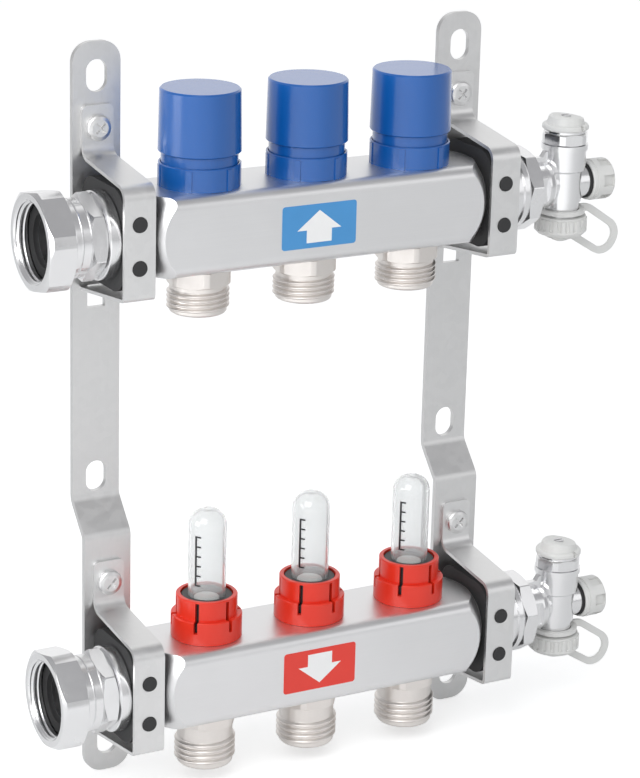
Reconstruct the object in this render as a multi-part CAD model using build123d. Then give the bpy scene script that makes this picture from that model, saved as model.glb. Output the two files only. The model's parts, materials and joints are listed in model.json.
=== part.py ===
from build123d import *
import math
import os

# Two-bar heating manifold on wall brackets. Millimetres, +X along the bars, -Y towards the room, +Z up.
# The origin is on the wall, midway between the brackets, level with the return bar (the upper one).
# Heights and depths of a piece are measured from the axis of the bar that carries it,
# unless its group says else.

# Bars: rectangular stainless tube, drawn down to a round neck at each end
circuit_count = 3
circuit_pitch = 50.0
bar_spacing = 195.0
bar_offset = 12.0
bar_height = 34.0
bar_depth = 42.0
bar_corner = 5.0
bar_wall = 1.5
bar_end_margin = 20.0
bar_face_taper = 5.5
bar_taper = 9.5
neck_radius = 15.5
neck_length = 14.0
port_radius = 11.0
outlet_port_radius = 10.0

# Clearances
slide_gap = 0.1
seat_gap = 0.1
loose_gap = 0.3
fixed_gap = 0.05

# Wall brackets: flat bar, stepped forward below the middle slot
bracket_width = 21.5
bracket_thickness = 2.5
bracket_gap = 0.5
bracket_top = 75.0
bracket_bottom = 48.5
bracket_end_radius = 8.5
bracket_bend = 5.0
jog_top = 121.0
jog_height = 13.5
slot_width = 9.3
slot_length = 13.5
slot_margin = 7.5
middle_slot_depth = 112.0
hook_hole_width = 8.0
hook_hole_height = 9.8
hook_hole_depth = 32.3

# Clamp straps: bent sheet, screwed at the top and hooked into the bracket below
strap_thickness = 1.5
strap_width = 14.0
strap_front = 20.5
strap_tab_top = 49.0
strap_tab_bend = 28.5
strap_shoulder = 23.5
strap_foot = 24.0
strap_hook = 29.7
strap_tab_radius = 5.0
strap_shoulder_radius = 6.0
strap_foot_radius = 2.6
strap_corner = 2.5
tongue_width = 7.4
screw_height = 39.5
screw_hole_radius = 2.3
screw_shank_radius = 2.1
screw_head_radius = 5.4
screw_head_height = 2.6
screw_cross_length = 5.6
screw_cross_width = 1.1
screw_cross_depth = 1.3

# Rubber linings between strap and neck
rubber_width = 13.0
rubber_height = 43.0
rubber_corner = 10.0
rubber_nub_radius = 3.1
rubber_nub_pitch = 18.2
rubber_nub_drop = 1.0
rubber_nub_proud = 0.6
nub_hole_radius = 3.35

# Return valves with hand caps; heights above the bar's top face
stem_radius = 2.5
insert_depth = 9.0
insert_flange_radius = 14.2
insert_flange = 1.6
insert_thread_radius = 14.8
insert_thread_top = 19.0
insert_nose_radius = 8.0
insert_nose_top = 22.0
insert_guide_radius = 5.5
insert_guide_depth = 15.0
spindle_top = 26.0
plug_radius = 9.0
plug_thickness = 3.0
collar_radius = 17.1
collar_height = 9.6
collar_base = 1.2
collar_rib_width = 2.6
collar_rib_proud = 0.45
collar_rib_count = 6
collar_rib_start = -131.0
cap_top = 40.4
cap_bottom = 14.0
cap_skirt_bottom = 1.9
cap_skirt_wall = 1.1
cap_bottom_radius = 17.3
cap_top_radius = 16.8
cap_roof = 2.5
cap_edge = 0.7
cap_boss_radius = 4.0
cap_rim = 0.5

# Outlet nipples with male pipe thread for the cone fittings of the circuits
thread_radius = 13.22
return_outlet_length = 20.3
supply_outlet_length = 25.0
return_hex_height = 8.2
supply_hex_height = 6.6
return_hex_turn = 19.0
supply_hex_turn = -4.0
outlet_hex_flats = 25.0
outlet_hex_corner = 13.7
outlet_neck_radius = 12.0
return_thread_length = 10.4
supply_thread_length = 12.4
outlet_bore = 7.5
outlet_mouth = 9.4
outlet_cone_depth = 6.0
outlet_spigot = 5.0
thread_chamfer = 0.9

# Flow meters on the supply bar; heights above the bar's top face
barrel_radius = 9.5
barrel_bore = 6.5
barrel_top = 13.0
barrel_floor = 3.0
flow_flange_radius = 12.4
flow_flange = 1.2
needle_radius = 0.8
regulator_skirt_radius = 12.8
regulator_skirt_top = 8.8
regulator_radius = 11.0
regulator_top = 18.2
sleeve_lower_radius = 15.3
sleeve_step = 10.2
sleeve_upper_radius = 13.2
sleeve_top = 18.9
sleeve_slot_width = 1.7
sleeve_slot_count = 6
sleeve_slot_start = -134.5
sleeve_slot_bottom = 5.2
sleeve_slot_rim = 0.7
sleeve_edge = 0.4
glass_radius = 8.1
glass_wall = 1.2
glass_top = 56.8
glass_dome = 6.8
indicator_radius = 5.4
indicator_thickness = 2.0
indicator_top = 17.0
baffle_radius = 7.0
baffle_thickness = 1.2
baffle_clearance = 0.5

# Supply unions at the left ends
spigot_length = 12.0
union_flange_radius = 18.4
union_flange = 4.7
union_hex_flats = 32.0
union_hex_corner = 18.3
union_hex_length = 7.2
union_hex_turn = 9.0
union_band_radius = 16.4
union_band_length = 8.0
union_band_groove = 0.8
union_neck_radius = 13.4
union_neck_length = 1.8
union_head_radius = 15.9
union_head = 2.0
union_bore = 10.5
union_nut_flats = 40.0
union_nut_corner = 21.8
union_nut_length = 12.0
union_nut_turn = -18.4
union_nut_back = 1.6
union_thread_radius = 16.62
union_nut_mouth = 0.8
union_relief = 0.5
gasket_radius = 16.0
gasket_bore = 11.5
gasket_thickness = 2.0

# Right ends: adapter, vent and drain valve
adapter_ring_radius = 16.5
adapter_ring = 5.6
adapter_flange_radius = 17.3
adapter_flange = 2.7
adapter_octagon_flats = 34.4
adapter_octagon_corner = 18.5
adapter_octagon_length = 6.9
adapter_octagon_turn = -12.0
adapter_bore = 7.5
valve_spigot_length = 9.0
barrel_length = 12.8
barrel_outer_radius = 11.0
barrel_dome = 4.5
flat_length = 5.4
flat_height = 10.8
flat_depth = 1.7
web_thickness = 3.0
web_height = 1.6
web_start = 20.0
valve_neck_radius = 6.5
valve_axis_reach = 35.9
valve_bore = 4.0
valve_upper_radius = 9.7
valve_upper_bottom = 5.6
valve_upper_top = 15.5
valve_rim_radius = 10.4
valve_rim_top = 18.0
valve_lower_radius = 8.5
valve_lower_bottom = 7.8
valve_throat_radius = 7.6
valve_throat_bottom = 13.6
drain_thread_radius = 8.5
drain_thread_bottom = 20.6
stub_radius = 7.3
stub_reach = 10.0
vent_hex_flats = 19.2
vent_hex_corner = 10.4
vent_hex_height = 5.2
vent_hex_turn = 51.0
vent_spigot_radius = 7.0
vent_spigot_length = 5.0
vent_seat_radius = 9.2
vent_seat = 0.9
vent_pin_radius = 4.6
vent_pin_height = 2.6
vent_cap_radius = 10.3
vent_cap_skirt = 2.4
vent_cap_crown_radius = 8.0
vent_cap_height = 6.4
vent_cap_slope = 7.0
vent_spout_radius = 1.3
vent_spout_turn = -74.0
vent_screw_radius = 2.1
vent_screw_proud = 0.5
vent_screw_slot = 0.7
seal_radius = 7.9
seal_width = 1.2
knob_flange_radius = 8.8
knob_flange = 2.2
knob_radius = 9.2
knob_length = 9.0
knob_window_count = 6
knob_window_start = 24.0
knob_window_length = 5.6
knob_window_width = 5.0
knob_window_depth = 1.8
knob_window_margin = 0.7
drain_stem_radius = 3.0
drain_stem_depth = 9.0
hose_cap_radius = 11.7
hose_cap_top = 14.4
hose_cap_bottom = 22.8
hose_cap_rim = 1.0
hose_cap_floor = 1.8
hose_flute_count = 20
hose_flute_radius = 1.0
hose_flute_length = 4.2
hose_pin_radius = 3.4
hose_pin_head_radius = 4.2
hose_pin_head = 1.6
leash_ring_radius = 10.4
leash_ring_height = 1.8
leash_width = 3.3
leash_thickness = 1.6
leash_reach = 30.9
leash_drop = 9.1
leash_bend = 4.9
leash_eye_radius = 6.4
leash_eye_height = 1.4

# Places worked out from the driving dimensions
first_circuit = -circuit_pitch * (circuit_count - 1) / 2
square_half = circuit_pitch * (circuit_count - 1) / 2 + bar_end_margin
bar_end = square_half + bar_taper + neck_length
clamp_reach = bar_end - neck_length / 2
bar_top = bar_height / 2
bracket_face = bar_depth / 2 + bracket_gap
wall = bracket_face + bracket_thickness
neck_bore = neck_radius - bar_wall
return_bar_place = Pos(0, -wall, 0)
supply_bar_place = Pos(0, -wall - bar_offset, -bar_spacing)
circuits = [first_circuit + circuit_pitch * number for number in range(circuit_count)]


def lathe(outline):
    """Turned solid about Z from half its section, given as (radius, height) points."""
    section = make_face(Polyline(*[(radius, 0, height) for radius, height in outline], close=True))
    return revolve(section, Axis.Z, 360)


def rod(radius, low, high):
    """Round bar on the Z axis between two heights."""
    return Pos(0, 0, low) * Cylinder(radius, high - low, align=(Align.CENTER, Align.CENTER, Align.MIN))


def wrench_body(sides, across_flats, corner_radius, length, turn):
    """Wrench flats from height 0 to length, with their corners turned off and chamfered at the ends."""
    prism = extrude(RegularPolygon(across_flats / 2, sides, major_radius=False, rotation=turn), length)
    chamfer_reach = across_flats / 2 - 0.2
    chamfer_length = (corner_radius - chamfer_reach) * 0.58
    envelope = lathe([(0, 0), (chamfer_reach, 0), (corner_radius, chamfer_length),
                      (corner_radius, length - chamfer_length), (chamfer_reach, length), (0, length)])
    return prism & envelope


def ring_of(shape, count, start=0.0):
    """Copies of a shape, evenly spaced about Z."""
    return [Rot(0, 0, start + 360 * number / count) * shape for number in range(count)]


def left_end(shape):
    """Puts a shape that points along +Z on the left end of a bar, pointing away from it."""
    return Pos(-bar_end, 0, 0) * Rot(0, -90, 0) * shape


def right_end(shape):
    """Puts a shape that points along +Z on the right end of a bar, pointing away from it."""
    return Pos(bar_end, 0, 0) * Rot(0, 90, 0) * shape


def at_valve(shape):
    """Puts a shape that stands on Z on the vertical axis of the vent and drain valve."""
    return Pos(bar_end + valve_axis_reach, 0, 0) * shape


def bent_sheet(points, radii, thickness, width):
    """Bent sheet centred on X = 0, on the left of a line through (depth, height) points."""
    line = FilletPolyline(*points, radius=radii)
    section = make_face(offset(line, thickness, side=Side.LEFT))
    return extrude(Plane.YZ * section, width / 2, both=True)


def bar_envelope(shrink):
    """Turned envelope of a bar: its curved end tapers and necks, made smaller all round by shrink."""
    reach = math.hypot(bar_depth / 2 - bar_corner, bar_height / 2 - bar_corner) + bar_corner - shrink
    corner, face, neck = square_half, square_half + bar_face_taper, square_half + bar_taper
    half = [
        Line((0, 0), (reach, 0)),
        Line((reach, 0), (reach, corner)),
        ThreePointArc((reach, corner), (bar_depth / 2 - shrink, face), (neck_radius - shrink, neck)),
        Line((neck_radius - shrink, neck), (neck_radius - shrink, bar_end)),
        Line((neck_radius - shrink, bar_end), (0, bar_end)),
        Line((0, bar_end), (0, 0)),
    ]
    turned = revolve(Plane.XZ * make_face(half), Axis.Z, 360)
    right = Rot(0, 90, 0) * turned
    return right + mirror(right, Plane.YZ)


def bar_tube(top_radius, bottom_radius):
    """One bar, open at both necks, with a port above and below at each circuit."""
    outer_section = RectangleRounded(bar_depth, bar_height, bar_corner)
    inner_section = RectangleRounded(
        bar_depth - 2 * bar_wall, bar_height - 2 * bar_wall, bar_corner - bar_wall)
    outer = extrude(Plane.YZ * outer_section, bar_end + 1, both=True) & bar_envelope(0)
    inner = extrude(Plane.YZ * inner_section, bar_end + 1, both=True) & bar_envelope(bar_wall)
    tube = outer - inner
    for place in circuits:
        tube -= Pos(place, 0, 0) * rod(top_radius, 0, bar_height)
        tube -= Pos(place, 0, 0) * rod(bottom_radius, -bar_height, 0)
    return tube


def bracket():
    """Wall bracket with its three fixing slots, two hook holes and two screw holes."""
    low_end = -bar_spacing - bracket_bottom
    front = [
        (bracket_face, bracket_top),
        (bracket_face, -jog_top),
        (bracket_face - bar_offset, -jog_top - jog_height),
        (bracket_face - bar_offset, low_end),
    ]
    sheet = bent_sheet(front, bracket_bend, bracket_thickness, bracket_width)
    height = bracket_top - low_end
    outline = Plane.XZ * Pos(0, (bracket_top + low_end) / 2) * RectangleRounded(
        bracket_width, height, bracket_end_radius)
    sheet = sheet & extrude(outline, bar_depth * 2, both=True)
    for height in slot_heights():
        slot = Plane.XZ * Pos(0, height) * Rot(0, 0, 90) * SlotOverall(slot_length, slot_width)
        sheet -= extrude(slot, bar_depth * 2, both=True)
    for level in (0, -bar_spacing):
        hook = Plane.XZ * Pos(0, level - hook_hole_depth) * Rectangle(hook_hole_width, hook_hole_height)
        sheet -= extrude(hook, bar_depth * 2, both=True)
        screw = Plane.XZ * Pos(0, level + screw_height) * Circle(screw_hole_radius)
        sheet -= extrude(screw, bar_depth * 2, both=True)
    return sheet


def slot_heights():
    """Centres of the three fixing slots of a bracket."""
    top = bracket_top - slot_margin - slot_length / 2
    bottom = -bar_spacing - bracket_bottom + slot_margin + slot_length / 2
    return [top, -middle_slot_depth, bottom]


def nub_heights():
    """Heights of the two rubber nubs in a clamp."""
    return [-rubber_nub_drop + side * rubber_nub_pitch / 2 for side in (1, -1)]


def strap():
    """Clamp strap round the front of a bar's neck."""
    outside = [
        (bracket_face - strap_thickness, strap_tab_top),
        (bracket_face - strap_thickness, strap_tab_bend),
        (-strap_front, strap_shoulder),
        (-strap_front, -strap_foot),
        (wall - loose_gap, -strap_hook),
    ]
    radii = [strap_tab_radius, strap_shoulder_radius, strap_foot_radius]
    sheet = bent_sheet(outside, radii, strap_thickness, strap_width)
    top_edges = sheet.edges().filter_by(Axis.Y).group_by(Axis.Z)[-1]
    sheet = fillet(top_edges, strap_corner)
    side_cut = Box((strap_width - tongue_width) / 2, bracket_thickness + 2, strap_width,
                   align=(Align.MIN, Align.MIN, Align.CENTER))
    cut = Pos(tongue_width / 2, bracket_face - fixed_gap, -strap_hook) * side_cut
    sheet -= cut
    sheet -= mirror(cut, Plane.YZ)
    for height in nub_heights():
        hole = Plane.XZ * Pos(0, height) * Circle(nub_hole_radius)
        sheet -= extrude(hole, bar_depth)
    hole = Plane.XZ * Pos(0, screw_height) * Circle(screw_hole_radius)
    return sheet - extrude(hole, bar_depth, both=True)


def clamp_rubber():
    """Rubber lining: a thick rounded frame bored for the neck, with two nubs that lock into the strap."""
    front = strap_front - strap_thickness - fixed_gap
    back = bracket_face - fixed_gap
    section = Plane.YZ * Pos((back - front) / 2, 0) * RectangleRounded(
        back + front, rubber_height, rubber_corner)
    block = extrude(section, rubber_width / 2, both=True)
    nub_length = strap_thickness + fixed_gap + rubber_nub_proud
    for height in nub_heights():
        nub = Pos(0, -front + 1, height) * Rot(90, 0, 0) * rod(rubber_nub_radius, 0, nub_length + 1)
        block += nub
    return block - Rot(0, 90, 0) * rod(neck_radius + fixed_gap, -strap_width, strap_width)


def strap_screw():
    """Pan head screw with a cross recess, driven towards the wall."""
    crown = screw_head_height - 0.9
    head = lathe([(0, 0), (screw_head_radius, 0), (screw_head_radius, crown),
                  (screw_head_radius - 0.5, crown + 0.5), (screw_head_radius - 1.8, screw_head_height),
                  (0, screw_head_height)])
    for turn in (45, 135):
        groove = Box(screw_cross_length, screw_cross_width, screw_cross_depth,
                     align=(Align.CENTER, Align.CENTER, Align.MAX))
        head -= Pos(0, 0, screw_head_height) * Rot(0, 0, turn) * groove
    shank = rod(screw_shank_radius, -strap_thickness - bracket_thickness + seat_gap, 0)
    return Pos(0, bracket_face - strap_thickness, screw_height) * Rot(90, 0, 0) * (head + shank)


def valve_insert():
    """Valve top: screwed into the bar, with the thread that the hand cap turns on."""
    bore = stem_radius + slide_gap
    return lathe([
        (bore, -insert_guide_depth), (insert_guide_radius, -insert_guide_depth),
        (insert_guide_radius, -insert_depth), (port_radius - fixed_gap, -insert_depth),
        (port_radius - fixed_gap, 0), (insert_flange_radius, 0),
        (insert_flange_radius, insert_flange), (insert_thread_radius, insert_flange),
        (insert_thread_radius, insert_thread_top), (insert_nose_radius, insert_thread_top),
        (insert_nose_radius, insert_nose_top), (bore, insert_nose_top),
    ])


def valve_spindle():
    """Spindle with its valve disc, closed on the outlet's seat at rest."""
    seat = -bar_height + outlet_spigot + seat_gap
    return lathe([
        (0, seat), (plug_radius, seat), (plug_radius, seat + plug_thickness - 0.8),
        (plug_radius - 0.8, seat + plug_thickness), (stem_radius, seat + plug_thickness),
        (stem_radius, spindle_top - 0.5), (stem_radius - 0.5, spindle_top), (0, spindle_top),
    ])


def cap_collar():
    """Ring round the foot of a hand cap, with narrow grip ribs."""
    skirt_room = insert_thread_radius + slide_gap + cap_skirt_wall + loose_gap
    ring = lathe([
        (insert_thread_radius + fixed_gap, 0), (collar_radius, 0),
        (collar_radius, collar_height - 0.3), (collar_radius - 0.3, collar_height),
        (skirt_room, collar_height), (skirt_room, collar_base),
        (insert_thread_radius + fixed_gap, collar_base),
    ])
    rib_height = collar_height - 0.6
    rib = Pos(collar_radius - 0.5, 0, 0) * Box(
        0.5 + collar_rib_proud, collar_rib_width, rib_height, align=(Align.MIN, Align.CENTER, Align.MIN))
    for copy in ring_of(rib, collar_rib_count, collar_rib_start):
        ring += copy
    return ring


def hand_cap():
    """Hand cap: tapered knob on a threaded skirt, with a boss that presses on the spindle."""
    bore = insert_thread_radius + slide_gap
    skirt = bore + cap_skirt_wall
    return lathe([
        (bore, cap_skirt_bottom), (skirt, cap_skirt_bottom), (skirt, cap_bottom),
        (cap_bottom_radius - cap_rim, cap_bottom), (cap_bottom_radius, cap_bottom + cap_rim),
        (cap_top_radius, cap_top - cap_edge), (cap_top_radius - cap_edge, cap_top), (0, cap_top),
        (0, spindle_top), (cap_boss_radius, spindle_top), (cap_boss_radius, cap_top - cap_roof),
        (bore, cap_top - cap_roof),
    ])


def outlet(length, hex_height, thread_length, turn):
    """Outlet nipple below a bar: spigot, wrench flats, neck and a threaded end with a cone seat."""
    top = -bar_top
    end = top - length
    nipple = lathe([
        (outlet_bore, top + outlet_spigot), (outlet_port_radius - fixed_gap, top + outlet_spigot),
        (outlet_port_radius - fixed_gap, top), (outlet_neck_radius, top),
        (outlet_neck_radius, end + thread_length), (thread_radius - thread_chamfer, end + thread_length),
        (thread_radius, end + thread_length - thread_chamfer), (thread_radius, end + thread_chamfer),
        (thread_radius - thread_chamfer, end), (outlet_mouth, end), (outlet_bore, end + outlet_cone_depth),
    ])
    flats = Pos(0, 0, top - hex_height) * wrench_body(
        6, outlet_hex_flats, outlet_hex_corner, hex_height, turn)
    flats -= rod(outlet_bore, top - hex_height, top)
    return nipple + flats


def flow_insert():
    """Threaded barrel of a flow meter, screwed into the supply bar."""
    bore = needle_radius + slide_gap
    return lathe([
        (bore, 0), (port_radius - 2.5, 0), (port_radius - 2.5, -insert_depth),
        (port_radius - fixed_gap, -insert_depth), (port_radius - fixed_gap, 0),
        (flow_flange_radius, 0), (flow_flange_radius, flow_flange),
        (barrel_radius, flow_flange), (barrel_radius, barrel_top), (barrel_bore, barrel_top),
        (barrel_bore, barrel_floor), (bore, barrel_floor),
    ])


def regulating_nut():
    """Black ring that sets the flow, turned once the red sleeve is lifted."""
    foot = flow_flange + seat_gap
    bore = barrel_radius + slide_gap
    return lathe([
        (bore, foot), (regulator_skirt_radius, foot), (regulator_skirt_radius, regulator_skirt_top),
        (regulator_radius, regulator_skirt_top), (regulator_radius, regulator_top - 0.3),
        (regulator_radius - 0.3, regulator_top), (glass_radius + fixed_gap, regulator_top),
        (glass_radius + fixed_gap, barrel_top + seat_gap), (bore, barrel_top + seat_gap),
    ])


def lock_sleeve():
    """Red stepped sleeve that locks the regulating ring, with narrow slots through its wall."""
    foot = seat_gap
    lower_bore = regulator_skirt_radius + loose_gap
    upper_bore = regulator_radius + loose_gap
    sleeve = lathe([
        (lower_bore, foot), (sleeve_lower_radius, foot), (sleeve_lower_radius, sleeve_step - sleeve_edge),
        (sleeve_lower_radius - sleeve_edge, sleeve_step), (sleeve_upper_radius, sleeve_step),
        (sleeve_upper_radius, sleeve_top - sleeve_edge), (sleeve_upper_radius - sleeve_edge, sleeve_top),
        (upper_bore, sleeve_top), (upper_bore, regulator_skirt_top + loose_gap),
        (lower_bore, regulator_skirt_top + loose_gap),
    ])
    slot = Pos(upper_bore - 1, 0, sleeve_slot_bottom) * Box(
        sleeve_lower_radius, sleeve_slot_width, sleeve_top - sleeve_slot_rim - sleeve_slot_bottom,
        align=(Align.MIN, Align.CENTER, Align.MIN))
    for copy in ring_of(slot, sleeve_slot_count, sleeve_slot_start):
        sleeve -= copy
    return sleeve


def sight_glass():
    """Clear tube with a domed top, seated in the regulating ring."""
    foot = barrel_top + 2 * seat_gap
    outer = rod(glass_radius, foot, glass_top)
    outer = fillet(outer.edges().group_by(Axis.Z)[-1], glass_dome)
    inner = rod(glass_radius - glass_wall, foot, glass_top - glass_wall)
    return outer - fillet(inner.edges().group_by(Axis.Z)[-1], glass_dome - glass_wall)


def flow_indicator():
    """Needle with the reading disc above and the baffle that the flow lifts below."""
    disc_low = indicator_top - indicator_thickness
    baffle_low = -bar_height + outlet_spigot + baffle_clearance
    baffle_high = baffle_low + baffle_thickness
    return lathe([
        (0, baffle_low), (baffle_radius, baffle_low), (baffle_radius, baffle_high),
        (needle_radius, baffle_high), (needle_radius, disc_low),
        (indicator_radius, disc_low), (indicator_radius, indicator_top), (0, indicator_top),
    ])


def union_tailpiece():
    """Tailpiece in a bar's left neck: flange, wrench flats, two bands and the head inside the nut."""
    flats_start = union_flange
    bands = flats_start + union_hex_length
    neck = bands + union_band_length
    head = neck + union_neck_length
    middle = (bands + neck) / 2
    groove = union_band_groove / 2
    turned = lathe([
        (union_bore, -spigot_length), (neck_bore - fixed_gap, -spigot_length), (neck_bore - fixed_gap, 0),
        (union_flange_radius, 0), (union_flange_radius, union_flange - 0.4),
        (union_flange_radius - 0.4, union_flange), (union_band_radius - 1, union_flange),
        (union_band_radius - 1, bands), (union_band_radius - 0.4, bands), (union_band_radius, bands + 0.4),
        (union_band_radius, middle - groove), (union_band_radius - groove, middle),
        (union_band_radius, middle + groove), (union_band_radius, neck - 0.4),
        (union_band_radius - 0.4, neck),
        (union_neck_radius, neck), (union_neck_radius, head), (union_head_radius, head),
        (union_head_radius, head + union_head), (union_bore, head + union_head),
    ])
    flats = Pos(0, 0, flats_start) * wrench_body(
        6, union_hex_flats, union_hex_corner, union_hex_length, union_hex_turn)
    flats -= rod(union_band_radius - 1.5, flats_start, bands)
    return turned + flats


def union_nut():
    """Union nut, turned on the tailpiece's neck, with the female thread for the supply pipe."""
    back = union_flange + union_hex_length + union_band_length + seat_gap
    bore = union_neck_radius + slide_gap
    relief_end = gasket_seat() + gasket_thickness + loose_gap
    body = Pos(0, 0, back) * wrench_body(
        6, union_nut_flats, union_nut_corner, union_nut_length, union_nut_turn)
    cavity = lathe([
        (0, back - 1), (bore, back - 1), (bore, back + union_nut_back),
        (union_thread_radius + union_relief, back + union_nut_back),
        (union_thread_radius + union_relief, relief_end), (union_thread_radius, relief_end),
        (union_thread_radius, back + union_nut_length - union_nut_mouth),
        (union_thread_radius + union_nut_mouth, back + union_nut_length),
        (union_thread_radius + union_nut_mouth, back + union_nut_length + 1),
        (0, back + union_nut_length + 1),
    ])
    return body - cavity


def gasket_seat():
    """Distance of a tailpiece's sealing face from the end of the bar."""
    return union_flange + union_hex_length + union_band_length + union_neck_length + union_head


def union_gasket():
    """Flat gasket against the head of a tailpiece."""
    seat = gasket_seat()
    front = seat + gasket_thickness
    return rod(gasket_radius, seat, front) - rod(gasket_bore, seat, front)


def end_adapter():
    """Adapter in a bar's right neck: ring, flange and eight wrench flats."""
    flange = adapter_ring + adapter_flange
    end = flange + adapter_octagon_length
    turned = lathe([
        (adapter_bore, -spigot_length), (neck_bore - fixed_gap, -spigot_length), (neck_bore - fixed_gap, 0),
        (adapter_ring_radius, 0), (adapter_ring_radius, adapter_ring),
        (adapter_flange_radius, adapter_ring), (adapter_flange_radius, flange - 0.4),
        (adapter_flange_radius - 0.4, flange),
        (barrel_outer_radius, flange), (barrel_outer_radius, end), (adapter_bore, end),
    ])
    flats = Pos(0, 0, flange) * wrench_body(
        8, adapter_octagon_flats, adapter_octagon_corner, adapter_octagon_length, adapter_octagon_turn)
    flats -= rod(barrel_outer_radius - 1, flange, end)
    return turned + flats


def valve_body():
    """Vent and drain valve body: a barrel with wrench flats that joins a vertical tube and a side stub."""
    start = adapter_ring + adapter_flange + adapter_octagon_length
    end = start + barrel_length
    barrel = lathe([
        (0, start - valve_spigot_length), (adapter_bore - fixed_gap, start - valve_spigot_length),
        (adapter_bore - fixed_gap, start), (barrel_outer_radius, start),
        (barrel_outer_radius, end - barrel_dome), (barrel_outer_radius - 0.6, end - barrel_dome * 0.55),
        (barrel_outer_radius - 2.0, end - barrel_dome * 0.2), (valve_neck_radius, end),
        (valve_neck_radius, valve_axis_reach), (0, valve_axis_reach),
    ])
    pocket = Pos(0, barrel_outer_radius - flat_depth, (start + end - barrel_dome) / 2 + 0.6) * Box(
        flat_height, 2, flat_length, align=(Align.CENTER, Align.MIN, Align.CENTER))
    pocket = fillet(pocket.edges().filter_by(Axis.Y), 1.2)
    barrel -= pocket
    barrel -= mirror(pocket, Plane.XZ)
    column = lathe([
        (0, -drain_thread_bottom), (drain_thread_radius, -drain_thread_bottom),
        (drain_thread_radius, -valve_throat_bottom), (valve_throat_radius, -valve_throat_bottom),
        (valve_throat_radius, -valve_lower_bottom), (valve_lower_radius, -valve_lower_bottom),
        (valve_lower_radius, valve_upper_bottom), (valve_upper_radius, valve_upper_bottom + 1),
        (valve_upper_radius, valve_upper_top), (valve_rim_radius, valve_upper_top),
        (valve_rim_radius, valve_rim_top), (0, valve_rim_top),
    ])
    stub = Rot(0, 90, 0) * rod(stub_radius, 0, stub_reach)
    web_top = barrel_outer_radius + web_height
    web_profile = Plane.XZ * make_face(Polyline(
        (0, 0), (0, valve_upper_top), (-valve_upper_radius - 0.8, valve_upper_top - 0.6),
        (-valve_upper_radius - 2.4, web_top), (-web_start + 1, web_top),
        (-web_start, barrel_outer_radius - 1), (-web_start, 0), close=True))
    web = extrude(web_profile, web_thickness / 2, both=True)
    body = right_end(barrel) + at_valve(column) + at_valve(stub) + at_valve(web)
    body -= at_valve(rod(vent_spigot_radius + fixed_gap, valve_rim_top - vent_spigot_length, valve_rim_top))
    body -= at_valve(rod(valve_bore, -drain_thread_bottom, valve_rim_top))
    body -= right_end(rod(valve_bore, 0, valve_axis_reach))
    stem_room = rod(drain_stem_radius + slide_gap, 0, stub_reach)
    return body - at_valve(Rot(0, 90, 0) * stem_room)


def vent_insert():
    """Air vent screwed into the top of the valve body, with wrench flats and a seat for its cap."""
    hex_top = valve_rim_top + vent_hex_height
    seat_top = hex_top + vent_seat
    core = lathe([
        (vent_screw_radius + slide_gap, valve_rim_top - vent_spigot_length),
        (vent_spigot_radius, valve_rim_top - vent_spigot_length), (vent_spigot_radius, valve_rim_top),
        (vent_seat_radius, valve_rim_top), (vent_seat_radius, seat_top), (vent_pin_radius, seat_top),
        (vent_pin_radius, seat_top + vent_pin_height),
        (vent_screw_radius + slide_gap, seat_top + vent_pin_height),
    ])
    flats = Pos(0, 0, valve_rim_top) * wrench_body(
        6, vent_hex_flats, vent_hex_corner, vent_hex_height, vent_hex_turn)
    return core + (flats - rod(vent_seat_radius - 1, valve_rim_top, hex_top))


def vent_cap():
    """Swivelling vent cap with a sloping crown and a small spout hole in its side."""
    foot = valve_rim_top + vent_hex_height + vent_seat + seat_gap
    shoulder = foot + vent_cap_skirt
    top = foot + vent_cap_height
    cap = lathe([
        (0, foot), (vent_cap_radius - 0.6, foot), (vent_cap_radius, foot + 0.6),
        (vent_cap_radius, shoulder - 0.6),
        (vent_cap_radius - 0.5, shoulder), (vent_cap_crown_radius + 0.4, shoulder + 0.3),
        (vent_cap_crown_radius - 0.4, top - 0.8), (vent_cap_crown_radius - 1.4, top), (0, top),
    ])
    slope = Pos(0, 0, top - 0.6) * Rot(0, vent_cap_slope, 0) * rod(4 * vent_cap_radius, 0, vent_cap_height)
    cap -= slope
    spout = Pos(vent_cap_radius - 2, 0, shoulder - 0.9) * Rot(0, 90, 0) * rod(vent_spout_radius, 0, 4)
    cap -= Rot(0, 0, vent_spout_turn) * spout
    cap -= rod(vent_pin_radius + slide_gap, foot, foot + vent_pin_height + seat_gap)
    return cap - rod(vent_screw_radius + slide_gap, foot, top + 1)


def vent_screw():
    """Slotted screw in the middle of the vent."""
    foot = valve_rim_top + vent_seat
    top = valve_rim_top + vent_hex_height + vent_seat + seat_gap + vent_cap_height - 0.6 + vent_screw_proud
    screw = rod(vent_screw_radius, foot, top)
    slot = Pos(0, 0, top) * Box(3 * vent_screw_radius, vent_screw_slot, 1.6)
    return screw - slot


def drain_seal():
    """Seal ring between the side stub and the drain knob."""
    ring = rod(seal_radius, stub_reach, stub_reach + seal_width)
    ring -= rod(drain_stem_radius + loose_gap, stub_reach, stub_reach + seal_width)
    return Rot(0, 90, 0) * ring


def drain_knob():
    """Drain knob with rectangular grip windows round its rim."""
    foot = stub_reach + seal_width + seat_gap
    start = foot + knob_flange
    end = start + knob_length
    knob = lathe([
        (drain_stem_radius + fixed_gap, foot), (knob_flange_radius - 0.5, foot),
        (knob_flange_radius, foot + 0.5),
        (knob_flange_radius, start), (knob_radius, start), (knob_radius, end - 1.2),
        (knob_radius - 0.35, end - 0.5), (knob_radius - 1.3, end), (drain_stem_radius + fixed_gap, end),
    ])
    window = Pos(knob_radius - knob_window_depth, 0, end - knob_window_margin - knob_window_length) * Box(
        4, knob_window_width, knob_window_length, align=(Align.MIN, Align.CENTER, Align.MIN))
    for copy in ring_of(window, knob_window_count, knob_window_start):
        knob -= copy
    return Rot(0, 90, 0) * knob


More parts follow.
